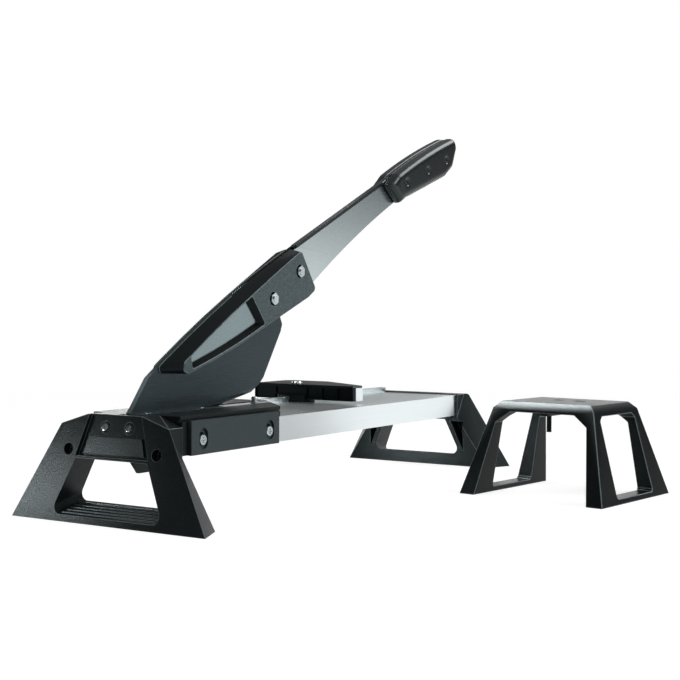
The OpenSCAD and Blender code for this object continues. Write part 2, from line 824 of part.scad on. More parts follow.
// Height of the spine's top edge at u
function spine_w(u) = arm_top - (u < spine_u ? pow(spine_u - u, 2) / (2 * spine_r) : 0);

// Height of the arm's lower edge at u
function under_w(u) = arm_low - (u < tang_u ? pow(tang_u - u, 2) / (2 * spine_r) : 0);

// Height of the arm's back between the cheeks and the grip at u
function back_w(u) = arm_top - (arm_top - arm_neck) * (u - lap_end_u) / (tang_u - lap_end_u);

// Height of a cheek's lower edge at u
function cheek_low_w(u) = cheek_low + pow(max(0, cheek_waist_u - u), 2) / (2 * cheek_low_r);

// Height of a cheek bolt at u
function bolt_w(u) = bolt_low_w + bolt_rise * (u - bolt_low_u) / (bolt_top_u - bolt_low_u);

// Height of the cutting edge at u
function edge_w(u) = -u * tan(edge_a);

function span(from, to, steps) = [for (i = [0:steps]) from + (to - from) * i / steps];

module lap_outline(grow) {
    polygon([
        [lap_u - grow, far], [far, far], [far, -far], [blade_l, cheek_low / 2 - grow],
        [blade_l - 19, lap_low - grow], [lap_u - grow, lap_low - grow]
    ]);
}

module blade_outline() {
    tip_w = edge_w(tip_u);
    start_u = heel_corner * 1.6;
    polygon(concat(
        [[heel_corner * cos(107), heel_corner * sin(107)], [heel_corner * 0.95, arm_top * 0.71]],
        [for (u = span(start_u, lap_u, 6)) [u, spine_w(u)]],
        [[lap_u + 8, spine_w(lap_u) - 6], [lap_end_u - 8, arm_top - 9], [lap_end_u - 2, bolt_low_w - 6]],
        [[lap_end_u - 40, cheek_low], [blade_l, cheek_low / 2], [blade_l, -nose_r / 2], [blade_l - nose_r, -1.5 * nose_r]],
        [[tip_u + tip_run, tip_w + tip_run * 0.21], [tip_u + tip_run * 0.62, tip_w + tip_run * 0.1]],
        [[tip_u, tip_w], [0, 0]]
    ));
}

// Ground bevel on the near face along the cutting edge
module bevel_cut() {
    rotate([0, edge_a, 0]) convex([for (u = [heel_r + 6, far]) each [
        [u, -arm_t / 2 - 1, -far / 10], [u, -arm_t / 2 + bevel_t, -far / 10], [u, -arm_t / 2 + bevel_t, -eps],
        [u, -arm_t / 2, bevel_w], [u, -arm_t / 2 - 1, bevel_w]
    ]]);
}

module bolt_holes(d) {
    for (u = bolt_us) translate([u, 0, bolt_w(u)]) rod(d, -far, far);
}

module blade() {
    color(BLADE) on_arm() difference() {
        union() {
            along(-arm_t / 2, arm_t / 2) blade_outline();
            rod(2 * heel_r, -arm_t / 2, arm_t / 2);
        }
        along(0, arm_t) lap_outline(fit);
        bevel_cut();
        rod(bush_d, -far, far);
        bolt_holes(bolt_d + fit);
    }
}

module tang_outline(grow) {
    offset(delta = grow) polygon([
        [tang_u - 1, arm_neck - 4], [tang_u - 1, arm_low + 1], [grip_belly_u, arm_low],
        [grip_end - 30, (grip_top + grip_low) / 2], [grip_belly_u, grip_top - 12]
    ]);
}

// Flat bar from the lap to the grip, waisted underneath
module arm_outline() {
    polygon(concat(
        [[lap_u, lap_low + 1]],
        [for (u = span(lap_u, spine_u, 4)) [u, spine_w(u)]],
        [[lap_end_u, arm_top], [tang_u, arm_neck]],
        [for (u = span(tang_u, lap_end_u + 28, 8)) [u, under_w(u)]],
        [[lap_end_u - 10, cheek_chin + 2], [lap_end_u - 70, lap_low + 1]]
    ));
}

// Side view of the arm's back inside the trim, a wall's thickness below the outline
module trim_seat() {
    from = cheek_end_u + 1 - fit;
    to = trim_end + fit;
    polygon([
        [from, back_w(from) - trim_t], [to, back_w(to) - trim_t], [to, back_w(to) - far], [from, back_w(from) - far]
    ]);
}

// What the arm loses under the trim
module trim_cut() {
    from = cheek_end_u + 1 - fit;
    to = trim_end + fit;
    polygon([
        [from, back_w(from) - trim_t], [to, back_w(to) - trim_t], [to, back_w(to) + 1], [from, back_w(from) + 1]
    ]);
}

module lever_arm() {
    color(STEEL) on_arm() difference() {
        union() {
            along(-arm_t / 2, arm_t / 2) arm_outline();
            along(-arm_t / 2, arm_t / 2) tang_outline(0);
        }
        along(-arm_t, 0) intersection() {
            lap_outline(0);
            translate([0, -far]) square([lap_end_u + fit, 2 * far]);
        }
        along(-arm_t, arm_t) trim_cut();
        bolt_holes(bolt_d + fit);
        grip_screw_places() rod(grip_screw_d + fit, -far, far);
    }
}

// Side view of the trim between two places along the arm
module trim_side(from, to) {
    polygon([[from, back_w(from)], [to, back_w(to)], [to, back_w(to) - trim_h], [from, back_w(from) - trim_h]]);
}

// Edge trim on the arm's back between the cheeks and the grip, without sides between the guard's halves
module spine_trim() {
    from = cheek_end_u + 1;
    guard = grip_u - guard_nose - 1;
    color(BLACK) on_arm() difference() {
        union() {
            along(-arm_t / 2 - trim_t, arm_t / 2 + trim_t) trim_side(from, guard);
            along(-arm_t / 2 + 0.05, arm_t / 2 - 0.05) translate([0, -0.15]) trim_side(guard - 1, trim_end);
        }
        along(-arm_t / 2 - 0.05, arm_t / 2 + 0.05) trim_seat();
    }
}

module pivot_bush() {
    color(STEEL) on_arm() difference() {
        rod(bush_d - 0.04, -arm_t / 2, arm_t / 2);
        rod(pivot_d + 2 * run_gap, -far, far);
    }
}

// Cheeks

// Share of the slope's set-back that is left at k, from the cheek's left end to its right
function slope_share(k) = 1 - 0.25 * k - max(0, k - 0.6);

// Outline of a cheek, its top edge lowered by drop and its left end drawn in by rake
module cheek_outline(drop, rake) {
    left = cheek_u + rake;
    end = cheek_end_u - 2 * cheek_r;
    low_us = span(cheek_waist_u, cheek_u + cheek_rake + 2, 4);
    offset(r = cheek_r, $fn = 32) offset(delta = -cheek_r) polygon(concat(
        [[left - 5, spine_w(left) - drop - cheek_nose_h], [left + 2, spine_w(left + 2) - drop]],
        [for (u = span(left + 12, end, 6)) [u, spine_w(u) - drop * slope_share((u - left) / (end - left))]],
        [[cheek_end_u, cheek_chin + 2], [cheek_end_u - 4 * cheek_r, cheek_chin]],
        [for (u = low_us) [u, cheek_low_w(u)]]
    ));
}

// Outline of the pocket, its lower and right sides moved in by draft
module pocket_outline(draft) {
    shift = 1.3 * draft;
    end = pocket_end_u - shift;
    drop = cheek_slope * 0.92 + pocket_lip;
    low_us = span(pocket_end_u, pocket_u, 12);
    offset(r = cheek_r / 2, $fn = 32) offset(delta = -cheek_r / 2) polygon(concat(
        [for (u = span(pocket_u + 4, end - 2 * cheek_r, 6)) [u, spine_w(u) - drop]],
        [for (u = low_us) if (u - shift >= pocket_u) [u - shift, cheek_low_w(u) + pocket_rim + draft]]
    ));
}

module cheek() {
    face = arm_t / 2 + cheek_t;
    difference() {
        hull() {
            along(-arm_t / 2 - 1, -arm_t / 2) cheek_outline(-1, 0);
            along(-face, -face + 1) cheek_outline(cheek_slope, cheek_rake);
        }
        hull() {
            along(-face - 1, -face) pocket_outline(0);
            along(-face + pocket_d - eps, -face + pocket_d) pocket_outline(pocket_draft);
        }
        for (u = bolt_us) translate([u, 0, bolt_w(u)]) rod(bolt_recess_d, -far, -bolt_seat);
        bolt_holes(bolt_d + fit);
    }
}

module near_cheek() { color(GREY) on_arm() cheek(); }
module far_cheek() { color(GREY) on_arm() mirror([0, 1, 0]) cheek(); }

module cheek_bolts() {
    color(STEEL) on_arm() for (u = bolt_us) translate([u, 0, bolt_w(u)]) {
        rod(bolt_d, -bolt_seat - bolt_head_h - 2.5, bolt_seat + eps);
        hex_rod(bolt_head_af, bolt_seat, bolt_seat + bolt_head_h);
    }
}

module cheek_nuts() {
    washer = 1;
    color(STEEL) on_arm() for (u = bolt_us) translate([u, 0, bolt_w(u)]) difference() {
        union() {
            rod(bolt_head_af + 2, -bolt_seat - washer, -bolt_seat);
            hex_rod(bolt_head_af, -bolt_seat - washer - bolt_head_h, -bolt_seat - washer + eps);
        }
        rod(bolt_d, -far, far);
    }
}

// Grip

grip_us = [for (k = [0.15, 0.46, 0.75]) grip_u + grip_l * k];

module grip_screw_places() {
    drop = 0.09;
    for (u = grip_us)
        translate([u, 0, (grip_top + grip_low) / 2 + 7.3 - (u - grip_us[0]) * drop]) children();
}

// Side view of the grip: crowned top, straight underside, butt cut back below
module grip_outline() {
    front_u = grip_u + grip_front;
    butt_u = grip_end - 10;
    offset(r = butt_r, $fn = 32) offset(delta = -butt_r) polygon(concat(
        [[front_u, grip_top - 0.5], [front_u, arm_low + 1], [grip_belly_u - 10, grip_low]],
        [[butt_u - butt_rake, grip_low + 4], [butt_u, (grip_top + grip_low) / 2], [butt_u, grip_top - 14]],
        [for (u = span(butt_u - 6, grip_back_u, 5)) [u, grip_top - pow(u - grip_back_u, 2) / (2 * grip_back_r)]]
    ));
}

// Side view of the guard at the grip's front, where it bears on the arm
module guard_outline() {
    polygon([
        [grip_u - guard_nose, grip_top - 7], [grip_u + guard_nose / 2, arm_low - 1], [grip_u + grip_front + 14, arm_low - 1],
        [grip_u + 60, arm_low + 4], [grip_u + 60, grip_top - 2], [grip_u + guard_nose, grip_top - 1]
    ]);
}

// Half of a rounded block with the side view that is drawn, from the arm's face outwards
module scale_block(inset) {
    face = grip_w / 2 - inset;
    hull() {
        along(-arm_t / 2 - 1, -arm_t / 2) children();
        for (i = [0:grip_steps]) {
            turn = 90 * i / grip_steps;
            along(-face + grip_r * (1 - sin(turn)) - eps, -face + grip_r * (1 - sin(turn)))
                offset(delta = -grip_r * (1 - cos(turn))) children();
        }
    }
}

module grip_half() {
    difference() {
        union() {
            scale_block(0) grip_outline();
            scale_block(0.5) guard_outline();
        }
        grip_screw_places() {
            rod(grip_screw_d + fit, -far, far);
            rod(grip_screw_d + 4, -far, -grip_w / 2 + 3);
        }
    }
}

module near_grip() { color(BLACK) on_arm() grip_half(); }
module far_grip() { color(BLACK) on_arm() mirror([0, 1, 0]) grip_half(); }

// Strip between the scales, round the arm's tang, a seam's depth below their edges
module grip_core() {
    color(BLACK) on_arm() difference() {
        along(-arm_t / 2, arm_t / 2) difference() {
            offset(delta = -seam_d) grip_outline();
            tang_outline(fit);
            translate([0, under_w(tang_u) - fit]) square([tang_u + fit, arm_neck - under_w(tang_u) + 2 * fit + 0.3]);
        }
        grip_screw_places() rod(grip_screw_d + fit, -far, far);
    }
}

module grip_screws() {
    color(STEEL) on_arm() grip_screw_places()
        translate([0, -grip_w / 2 + 3, 0]) rotate([90, 0, 0]) screw(grip_screw_d + 3.4, 2, grip_screw_d, grip_w - 9);
}

module grip_nuts() {
    color(STEEL) on_arm() grip_screw_places() difference() {
        rod(grip_screw_d + 3.4, grip_w / 2 - 3, grip_w / 2 - 1);
        rod(grip_screw_d / 2, -far, far);
    }
}

// Fence: drawn about its pivot

module at_fence() { translate([fence_x, ridge_y, 0]) children(); }

// Round turntable that runs on the ridge, with the spigot that the fence turns on
module fence_slider() {
    color(DARK) difference() {
        union() {
            at_fence() translate([0, 0, rail_top + 0.3]) cylinder(d = slider_d, h = slider_top - rail_top - 0.3);
            at_fence() translate([0, 0, slider_top - eps]) cylinder(d = spigot_d, h = fence_top - slider_top - 0.3);
        }
        across(fence_x - slider_d, fence_x + slider_d) ridge_outline(0.3);
        at_fence() translate([0, 0, ridge_top]) cylinder(d = 6, h = far);
        at_fence() translate([0, 0, rail_top + 4]) rod(4, 0, far);
    }
}

module slider_lock_screw() {
    color(STEEL) at_fence() translate([0, 0, rail_top + 4]) difference() {
        rod(4, ridge_w / 2 + 0.6, slider_d / 2 - 1);
        hex_rod(2, slider_d / 2 - 4, slider_d / 2);
    }
}

// Space over the ridge and the slider, open to both ends of the swivel's travel
module fence_notch() {
    translate([-far / 2, -notch_r, 0]) cube([far, 2 * notch_r, bar_over]);
}

module fence_bar() {
    color(ALU) at_fence() difference() {
        translate([-fence_t / 2, -fence_front, fence_z]) cube([fence_t, fence_front + fence_back, fence_top - fence_z]);
        fence_notch();
        cylinder(d = spigot_d + 2 * run_gap, h = far);
    }
}

// Black strip on the bar's face, with pockets between ribs
module fence_strip() {
    front = -fence_front + 1;
    pocket_h = fence_top - fence_z - 2 * strip_rib;
    pitch = (fence_front - notch_r - 1) / fence_pockets;
    color(BLACK) at_fence() difference() {
        translate([-fence_t / 2 - strip_t, front, fence_z]) cube([strip_t, fence_back - front, fence_top - fence_z]);
        fence_notch();
        translate([-fence_t / 2 - strip_t - 1, 0, fence_z + strip_rib]) {
            for (i = [0:fence_pockets - 1])
                translate([0, front + strip_rib + i * pitch, 0])
                    cube([strip_pocket_d + 1, pitch - strip_rib, pocket_h]);
            translate([0, -notch_r + strip_rib, bar_over - fence_z])
                cube([strip_pocket_d + 1, 2 * notch_r - 2 * strip_rib, fence_top - bar_over - 2 * strip_rib]);
            translate([0, notch_r + strip_rib, 0])
                cube([strip_pocket_d + 1, fence_back - notch_r - 2 * strip_rib, pocket_h]);
        }
    }
}

// Plate over the bar, with a sector behind it for setting the angle
module fence_cover() {
    front_x = -fence_t / 2 - strip_t - 1;
    back_x = fence_t / 2;
    color(GREY) at_fence() translate([0, 0, fence_top]) difference() {
        linear_extrude(cover_t) polygon([
            [front_x, -fence_front + 1], [back_x - 3, -fence_front - 1], [back_x + 1, -fence_front + 4],
            [back_x + cover_reach, -8], [back_x + cover_reach, fence_back - 8], [back_x + cover_reach - 8, fence_back],
            [front_x, fence_back]
        ]);
        translate([0, 0, -1]) cylinder(d = 6.6, h = far);
    }
}

module fence_pivot_screw() {
    color(STEEL) at_fence() translate([0, 0, fence_top + cover_t + 0.3])
        screw(14, 2.6, 6, fence_top + cover_t - ridge_top - 2);
}

// Stand

module at_stand() {
    translate([stand_x, -stand_y, 0]) rotate([0, 0, -stand_turn]) children();
}

// Corner heights of the flared block, half sizes from the floor to the top
module stand_block() {
    mid_z = foot_h - stand_chamfer;
    convex([for (sx = [-1, 1]) for (sy = [-1, 1]) each [
        [sx * stand_d / 2, sy * stand_l / 2, 0],
        [sx * (stand_top_d / 2 + stand_chamfer), sy * (stand_top_l / 2 + stand_chamfer), mid_z],
        [sx * stand_top_d / 2, sy * stand_top_l / 2, foot_h]
    ]]);
}

module stand() {
    arch_z = foot_h - stand_chamfer - 4;
    arch_cut = 13;
    arch_low = stand_l / 2 - frame_low_t;
    arch_top = stand_top_l / 2 + stand_chamfer - frame_top_t;
    window_w = stand_top_d / 2 - window_wall;
    color(DARK) at_stand() difference() {
        stand_block();
        across(-stand_d, stand_d) polygon([
            [-arch_low - 1, -eps], [arch_low + 1, -eps], [arch_top, arch_z - arch_cut],
            [arch_top - 1.4 * arch_cut, arch_z], [-arch_top + 1.4 * arch_cut, arch_z], [-arch_top, arch_z - arch_cut]
        ]);
        along(-stand_l, stand_l) polygon([
            [-window_w, frame_bar_h], [window_w, frame_bar_h], [window_w + 2, frame_bar_h + 3],
            [window_w, arch_z - 6], [window_w - 6, arch_z - 1], [-window_w + 6, arch_z - 1], [-window_w, arch_z - 6],
            [-window_w - 2, frame_bar_h + 3]
        ]);
        translate([-stand_top_d / 2 + 8, -arch_top + 16, arch_z - eps])
            cube([stand_top_d - 16, 2 * arch_top - 32, foot_h - stand_top_t - arch_z + eps]);
        for (sy = [-1, 1])
            translate([10, sy * 14, foot_h - stand_top_t - 1]) cylinder(d = 16, h = far);
    }
}

module stand_peg() {
    bar_l = 46;
    hang = foot_h - stand_top_t;
    color(DARK) at_stand() translate([0, 22, 0]) {
        translate([-12, -5, hang - 14]) cube([bar_l, 10, 4]);
        for (x = [-12, bar_l - 16]) translate([x, -5, hang - 14]) cube([4, 10, 14]);
        translate([0, 0, hang - 14 - peg_l]) cylinder(d = peg_d, h = peg_l + eps);
    }
}

left_foot();
right_foot();
nameplate();
rail();
cutting_bed();
counter_blade();
counter_blade_screws();
tip_guide();
front_jaw();
jaw_screws();
near_bracket();
far_bracket();
pivot_bolt();
pivot_nut();
pivot_washers();
pivot_bush();
stop_bumper();
blade();
lever_arm();
spine_trim();
near_cheek();
far_cheek();
cheek_bolts();
cheek_nuts();
near_grip();
far_grip();
grip_core();
grip_screws();
grip_nuts();
left_panel_screws();
left_leg_screws();
right_leg_screws();
fence_slider();
slider_lock_screw();
fence_bar();
fence_strip();
fence_cover();
fence_pivot_screw();
stand();
stand_peg();
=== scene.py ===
"""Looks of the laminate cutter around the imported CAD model, in metres and in the CAD's frame."""

import json
import math

import bpy
from mathutils import Euler, Matrix, Vector

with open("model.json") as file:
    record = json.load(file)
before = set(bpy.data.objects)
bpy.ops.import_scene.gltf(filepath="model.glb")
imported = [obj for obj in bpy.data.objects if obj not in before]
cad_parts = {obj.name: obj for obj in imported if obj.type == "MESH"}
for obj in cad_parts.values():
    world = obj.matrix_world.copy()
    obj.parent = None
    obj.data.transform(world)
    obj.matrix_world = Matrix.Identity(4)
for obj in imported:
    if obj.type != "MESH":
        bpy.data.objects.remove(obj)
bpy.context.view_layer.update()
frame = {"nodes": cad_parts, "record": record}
nodes = frame["nodes"]
scene = bpy.context.scene
scene.view_settings.view_transform = "Standard"

# Camera, as solved from the photograph. Angles in degrees, lens and sensor in millimetres.
CAMERA_POS = (-0.9981, -0.8938, 0.2207)
CAMERA_YAW = 31.99
CAMERA_PITCH = -1.327
CAMERA_ROLL = 0.224
CAMERA_LENS = 68.28
CAMERA_SENSOR = 36.0
CAMERA_REACH = 50

# Studio: its light on matt surfaces, and what reflections see of it: the least light of the dim
# side, the way to the bright side, how far round the change from dim to bright goes, and the
# light at heights from the horizon (0) to straight up (1).
STUDIO_FILL = 0.28
STUDIO_DIM = 0.06
STUDIO_BRIGHT = (0.85, -0.53, 0)
STUDIO_SIDES = (-0.5, 0.9)
STUDIO_HEIGHT = ((0.0, 1.0), (0.045, 0.8), (0.1, 0.14), (0.2, 0.08), (0.5, 0.35), (1.0, 1.0))

# Floor: between the two distances of the fade it goes from lit to plain white.
FLOOR_SIZE = 60
FLOOR_DIFFUSE = 0.35
FLOOR_GLOW = 0.82
FLOOR_FADE = (0.9, 2.4)

# Lamps: the surfaces that show them, place, target, size, watts and spread in degrees.
LAMPS = (
    ("front_key", "MATT", (1.0, -2.4, 0.7), (0.3, 0, 0.15), (1.8, 1.2), 52, 180),
    ("front_card", "GLOSSY", (0.7, -2.5, 1.25), (0.3, 0, 0.15), (3.0, 2.1), 13, 180),
    ("back_soft", "ALL", (-0.35, 0.7, 1.9), (0.35, 0, 0.1), (1.6, 1.2), 15, 180),
    ("edge_light", "GLOSSY", (2.0, -1.0, 1.73), (0.3, 0, 0.15), (1.6, 1.0), 26, 180),
    ("back_card", "GLOSSY", (2.6, 1.8, 0.42), (0.4, 0, 0.1), (2.0, 0.5), 1.3, 180),
    ("stand_card", "GLOSSY", (2.7, 0.45, 0.32), (0.47, -0.3, 0.11), (1.0, 0.36), 3.0, 180),
    ("pivot_card", "GLOSSY", (1.88, 1.66, 0.31), (0.02, 0, 0.112), (0.5, 0.26), 0.3, 60),
    ("far_foot_glow", "GLOSSY", (0.361, 0.16, 0.038), (0.643, 0, 0.012), (0.1, 0.06), 0.05, 28),
    ("foot_glow", "GLOSSY", (-0.27, 0.333, 0.038), (-0.014, 0.118, 0.035), (0.1, 0.06), 0.07, 28),
    ("top_card", "GLOSSY", (0.4155, -0.03, 0.5365), (0.418, -0.29, 0.108), (0.16, 0.26), 0.84, 40),
)

# Plastics: tint of their sheen, and the darkest and lightest shade of their grain.
COOL = (0.8, 0.97, 1.0, 1.0)
PLASTIC_TONE = (0.75, 1.3)

# Moulded faces: grain, its relief, how squarely a face has to look sideways, how far from the
# middle a pocket's floor still lies, and the spread of tone on faces, pocket floors and slopes.
# Pocket floors are painted lighter as a painted highlight; slopes and walls are black, partly as
# painted shade.
FACE_GRAIN = 700
FACE_BUMP = 0.4
FACE_DEPTH = 0.0003
FACE_SQUARE = (0.93, 0.97)
POCKET_EDGE = 0.014
FACE_SPREAD = 0.4
POCKET_SPREAD = 0.2
SLOPE_SPREAD = 0.15

# Metals: detail of their grain and depth of its relief.
METAL_DETAIL = 4.0
METAL_DEPTH = 0.0001

# Lever arm: its back edge is painted black as painted shade in place of a bright reflection, and
# so is its side, for the trim's depth, up to where the trim starts. Further along the trim's line,
# over the shaded reach, the steel is painted darker towards the grip as painted shade.
ARM_TILT = math.radians(25)
ARM_UP = (-math.sin(ARM_TILT), 0, math.cos(ARM_TILT))
BACK_FACING = 0.55
TRIM_START = Vector((0.3235, 0, 0.3005))
TRIM_WAY = Vector((0.9135, 0, 0.4067))
TRIM_DEPTH = 0.004
TRIM_MARGIN = 0.001
PAINTED_DARK_EDGE = (0.004, 0.005, 0.0055)
BLACK_GRAIN = 900
BLACK_TONE = (0.9, 1.1)
PAINTED_GRIP_SHADE = (0.4, 0.46, 0.47)
GRIP_SHADE_GRAIN = 700
GRIP_SHADE_TONE = (0.92, 1.08)
GRIP_SHADE_REACH = (0.45, 0.66)

# Edges: pieces are welded first, then edges sharper than the edge angle are rounded in steps.
# Pieces without a width aren't rounded, and stay sharp above the sharp angle.
WELD_REACH = 0.00001
EDGE_STEPS = 2
EDGE_ANGLE = math.radians(34)
SHARP_ANGLE = math.radians(40)

# Width of the rounding for each slot, and for the pieces that have their own.
EDGE_RADIUS = {
    "charcoal_plastic": 0.0009,
    "plate": 0.0004,
    "cheek_plastic": 0.0006,
    "fence_plastic": 0.0003,
    "grip_plastic": 0.0,
    "rail_aluminium": 0.0004,
    "lever_steel": 0.0004,
    "blade_steel": 0.0002,
    "fastener_steel": 0.00025,
    "bracket_steel": 0.0003,
    "bumper_rubber": 0.0005,
}
OWN_RADIUS = {
    "front_jaw": 0.0,
    "stand": 0.0008,
    "left_foot": 0.0004,
    "right_foot": 0.0004,
}

# Mouldings whose rounded edges are painted lighter with a second material: rubbed, and a painted
# edge highlight.
LIGHT_EDGED_PIECES = ("stand", "left_foot", "right_foot", "near_cheek", "far_cheek")
LIGHT_EDGE_SLOT = 1

# Pieces that get one soft skin: size of its cells, and how often and how far it is smoothed.
SKINNED = ("near_grip", "far_grip", "grip_core")
SKIN_VOXEL = 0.0009
SKIN_STEPS = 44
SKIN_FACTOR = 0.5


def add_camera():
    data = bpy.data.cameras.new("camera")
    data.lens = CAMERA_LENS
    data.sensor_width = CAMERA_SENSOR
    data.clip_end = CAMERA_REACH
    camera = bpy.data.objects.new("camera", data)
    scene.collection.objects.link(camera)
    turn = Euler((math.radians(90 + CAMERA_PITCH), 0, math.radians(CAMERA_YAW - 90)))
    roll = Matrix.Rotation(math.radians(CAMERA_ROLL), 4, "Z")
    camera.matrix_world = Matrix.Translation(CAMERA_POS) @ turn.to_matrix().to_4x4() @ roll
    scene.camera = camera


# Nodes that the materials, the floor and the world are made of


def grey(level):
    return (level, level, level, 1)


def shade(colour, factor):
    return tuple(min(1.0, channel * factor) for channel in colour) + (1.0,)


def grain(tree, scale, detail=3.0, stretch=(1, 1, 1), turn=0.0):
    """Noise in the object's own coordinates, turned about Y and stretched for brushed finishes."""
    coord = tree.nodes.new("ShaderNodeTexCoord")
    mapping = tree.nodes.new("ShaderNodeMapping")
    mapping.inputs["Scale"].default_value = stretch
    mapping.inputs["Rotation"].default_value = (0, math.radians(turn), 0)
    noise = tree.nodes.new("ShaderNodeTexNoise")
    noise.inputs["Scale"].default_value = scale
    noise.inputs["Detail"].default_value = detail
    tree.links.new(coord.outputs["Object"], mapping.inputs["Vector"])
    tree.links.new(mapping.outputs["Vector"], noise.inputs["Vector"])
    return noise.outputs["Fac"]


def ramp(tree, socket, low, high, start=0.3, end=0.7):
    node = tree.nodes.new("ShaderNodeValToRGB")
    node.color_ramp.elements[0].position = start
    node.color_ramp.elements[1].position = end
    node.color_ramp.elements[0].color = low
    node.color_ramp.elements[1].color = high
    tree.links.new(socket, node.inputs["Fac"])
    return node.outputs["Color"]


def toned(tree, noise, colour, low, high):
    """A colour that the noise varies between two shades of it."""
    return ramp(tree, noise, shade(colour, low), shade(colour, high))


def stepped(tree, socket, start, end):
    """Black below the start and white above the end."""
    return ramp(tree, socket, grey(0), grey(1), start, end)


def calculate(tree, operation, first, second=0.0):
    """Math on a socket and a number or another socket."""
    node = tree.nodes.new("ShaderNodeMath")
    node.operation = operation
    tree.links.new(first, node.inputs[0])
    if isinstance(second, bpy.types.NodeSocket):
        tree.links.new(second, node.inputs[1])
    else:
        node.inputs[1].default_value = second
    return node.outputs[0]


def along(tree, socket, direction):
    """How far a vector reaches along a direction."""
    node = tree.nodes.new("ShaderNodeVectorMath")
    node.operation = "DOT_PRODUCT"
    node.inputs[1].default_value = direction
    tree.links.new(socket, node.inputs[0])
    return node.outputs["Value"]


def rising(tree, socket, limits, lowest=0.0):
    """Goes from the lowest value to one while the socket goes through the limits."""
    node = tree.nodes.new("ShaderNodeMapRange")
    node.inputs["From Min"].default_value, node.inputs["From Max"].default_value = limits
    node.inputs["To Min"].default_value = lowest
    tree.links.new(socket, node.inputs["Value"])
    return node.outputs["Result"]


def mixed(tree, factor, first, second):
    node = tree.nodes.new("ShaderNodeMix")
    node.data_type = "RGBA"
    for socket, name in ((factor, "Factor"), (first, "A"), (second, "B")):
        tree.links.new(socket, node.inputs[name])
    return node.outputs["Result"]


def relief(tree, shader, height, strength, depth):
    bump = tree.nodes.new("ShaderNodeBump")
    bump.inputs["Strength"].default_value = strength
    bump.inputs["Distance"].default_value = depth
    tree.links.new(height, bump.inputs["Height"])
    tree.links.new(bump.outputs["Normal"], shader.inputs["Normal"])


def sheen(shader, roughness, gloss):
    shader.inputs["Roughness"].default_value = roughness
    shader.inputs["Specular IOR Level"].default_value = gloss
    shader.inputs["Specular Tint"].default_value = COOL


# Materials


def new_material(name):
    material = bpy.data.materials.new(name)
    material.use_nodes = True
    tree = material.node_tree
    return material, tree, tree.nodes["Principled BSDF"]


def plastic(name, colour, roughness, gloss=0.3, texture=1500, bump=0.3, depth=0.0002):
    """Moulded plastic with a fine spark-eroded grain."""
    material, tree, shader = new_material(name)
    noise = grain(tree, texture)
    tree.links.new(toned(tree, noise, colour, *PLASTIC_TONE), shader.inputs["Base Color"])
    sheen(shader, roughness, gloss)
    relief(tree, shader, noise, bump, depth)
    return material


def moulded_face(name, face_colour, pocket_colour, slope_colour, roughness, gloss):
    """Plastic with grained grey faces, pocket floors painted lighter as a painted highlight, and
    black slopes and walls, partly as painted shade.
    """
    material, tree, shader = new_material(name)
    noise = grain(tree, FACE_GRAIN)
    normal = tree.nodes.new("ShaderNodeNewGeometry")
    coord = tree.nodes.new("ShaderNodeTexCoord")
    across = calculate(tree, "ABSOLUTE", along(tree, normal.outputs["True Normal"], (0, 1, 0)))
    square = stepped(tree, across, *FACE_SQUARE)
    out = calculate(tree, "ABSOLUTE", along(tree, coord.outputs["Object"], (0, 1, 0)))
    sunk = calculate(tree, "LESS_THAN", out, POCKET_EDGE)
    spreads = (
        (face_colour, FACE_SPREAD),
        (pocket_colour, POCKET_SPREAD),
        (slope_colour, SLOPE_SPREAD),
    )
    face, pocket, slope = (
        toned(tree, noise, colour, 1 - spread, 1 + spread) for colour, spread in spreads)
    flat = mixed(tree, sunk, face, pocket)
    tree.links.new(mixed(tree, square, slope, flat), shader.inputs["Base Color"])
    sheen(shader, roughness, gloss)
    relief(tree, shader, noise, FACE_BUMP, FACE_DEPTH)
    return material


def metal(name, colour, roughness, stretch=(1, 1, 1), turn=0.0, texture=900, contrast=0.07,
          bump=0.15, vary=0.04):
    """Metal with a satin or brushed variation of tone and roughness."""
    material, tree, shader = new_material(name)
    noise = grain(tree, texture, METAL_DETAIL, stretch, turn)
    tone = toned(tree, noise, colour, 1 - contrast, 1 + contrast)
    tree.links.new(tone, shader.inputs["Base Color"])
    rough = ramp(tree, noise, grey(roughness - vary), grey(roughness + vary))
    tree.links.new(rough, shader.inputs["Roughness"])
    shader.inputs["Metallic"].default_value = 1.0
    if bump:
        relief(tree, shader, noise, bump, METAL_DEPTH)
    return material


def arm_painted_shade(material):
    """Paints shade on the arm: darker steel towards the grip, black on its back edge and the side
    below.
    """
    tree = material.node_tree
    shader = tree.nodes["Principled BSDF"]
    tone = shader.inputs["Base Color"].links[0].from_socket
    coord = tree.nodes.new("ShaderNodeTexCoord")
    facing = along(tree, coord.outputs["Normal"], ARM_UP)
    back = calculate(tree, "GREATER_THAN", facing, BACK_FACING)
    trim_up = Vector((-TRIM_WAY.z, 0, TRIM_WAY.x))
    height = along(tree, coord.outputs["Object"], trim_up)
    length = along(tree, coord.outputs["Object"], TRIM_WAY)
    high = calculate(tree, "GREATER_THAN", height, TRIM_START.dot(trim_up) - TRIM_DEPTH)
    before = calculate(tree, "LESS_THAN", length, TRIM_START.dot(TRIM_WAY) + TRIM_MARGIN)
    black = calculate(tree, "MAXIMUM", back, calculate(tree, "MULTIPLY", high, before))
    # Painted shade: black over the arm's back edge and over its side before the trim
    painted_dark_edge = toned(tree, grain(tree, BLACK_GRAIN), PAINTED_DARK_EDGE, *BLACK_TONE)
    # Painted shade: the steel is painted darker towards the grip
    painted_grip_shade = toned(tree, grain(tree, GRIP_SHADE_GRAIN), PAINTED_GRIP_SHADE, *GRIP_SHADE_TONE)
    steel_with_grip_shade = mixed(tree, stepped(tree, length, *GRIP_SHADE_REACH), tone, painted_grip_shade)
    tree.links.new(mixed(tree, black, steel_with_grip_shade, painted_dark_edge), shader.inputs["Base Color"])
    return material


